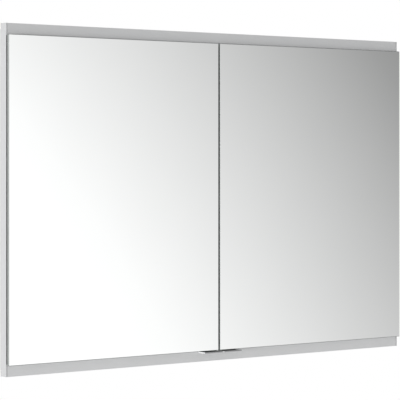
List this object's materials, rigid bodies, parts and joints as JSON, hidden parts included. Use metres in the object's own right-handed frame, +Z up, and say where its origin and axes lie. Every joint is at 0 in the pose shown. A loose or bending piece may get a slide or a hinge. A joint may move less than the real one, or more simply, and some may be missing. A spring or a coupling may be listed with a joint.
{
  "type": "recessed mirror cabinet",
  "caption": "Recessed bathroom cabinet with frameless mirror doors in a slim metal trim frame, glass shelves inside and a small lip handle under each door.",
  "frame": {"origin": "on the wall plane, at the middle of the trim frame's bottom edge", "axes": "+X to the right seen from the front, +Y into the wall, +Z up"},
  "size_m": [1, 0.182, 0.65],
  "materials": {
    "anodised_trim": "satin anodised",
    "box_panel": "light grey lacquered moisture-resistant board",
    "back_metal": "mill finish sheet",
    "mirror_glass": "silvered float glass",
    "bond_film": "dark bonding film",
    "shelf_glass": "clear polished glass",
    "polished_handle": "polished",
    "hinge_steel": "satin stainless",
    "hinge_pin_steel": "ground",
    "bracket_steel": "zinc plated",
    "magnet_steel": "nickel plated",
    "support_metal": "nickel plated",
    "catch_plastic": "light grey moulded",
    "screw_steel": "stainless",
    "buffer_rubber": "clear soft elastomer"
  },
  "bodies": {
    "cabinet": {"trim_rail_bottom": "anodised_trim", "bottom_panel": "box_panel", "trim_rail_top": "anodised_trim", "top_panel": "box_panel", "trim_stile_left": "anodised_trim", "side_panel_left": "box_panel", "hinge_leaf_frame_left": "hinge_steel", "hinge_pin_left": "hinge_pin_steel", "corner_bracket_bottom_left": "bracket_steel", "corner_bracket_top_left": "bracket_steel", "shelf_left_lower": "shelf_glass", "shelf_left_upper": "shelf_glass", "rear_mirror_left": "mirror_glass", "catch_magnet_left": "magnet_steel", "shelf_supports_left": "support_metal", "trim_stile_right": "anodised_trim", "side_panel_right": "box_panel", "hinge_leaf_frame_right": "hinge_steel", "hinge_pin_right": "hinge_pin_steel", "corner_bracket_bottom_right": "bracket_steel", "corner_bracket_top_right": "bracket_steel", "shelf_right_lower": "shelf_glass", "shelf_right_upper": "shelf_glass", "rear_mirror_right": "mirror_glass", "catch_magnet_right": "magnet_steel", "shelf_supports_right": "support_metal", "partition": "box_panel", "back_sheet": "back_metal", "catch_housing": "catch_plastic", "trim_screws": "screw_steel", "back_screws": "screw_steel", "case_screws": "screw_steel", "door_buffers": "buffer_rubber"},
    "left_door": {"door_left_outer_glass": "mirror_glass", "door_left_bond_film": "bond_film", "door_left_inner_glass": "mirror_glass", "handle_left": "polished_handle", "hinge_leaf_door_left": "hinge_steel", "strike_plate_left": "magnet_steel"},
    "right_door": {"door_right_outer_glass": "mirror_glass", "door_right_bond_film": "bond_film", "door_right_inner_glass": "mirror_glass", "handle_right": "polished_handle", "hinge_leaf_door_right": "hinge_steel", "strike_plate_right": "magnet_steel"}
  },
  "joints": [
    {"name": "left_door_hinge", "type": "hinge", "parent": "cabinet", "child": "left_door", "pos_m": [-0.4984, -0.0197, 0.325], "axis": [0, 0, -1], "range_deg": [0, 105]},
    {"name": "right_door_hinge", "type": "hinge", "parent": "cabinet", "child": "right_door", "pos_m": [0.4984, -0.0197, 0.325], "axis": [0, 0, 1], "range_deg": [0, 105]}
  ]
}
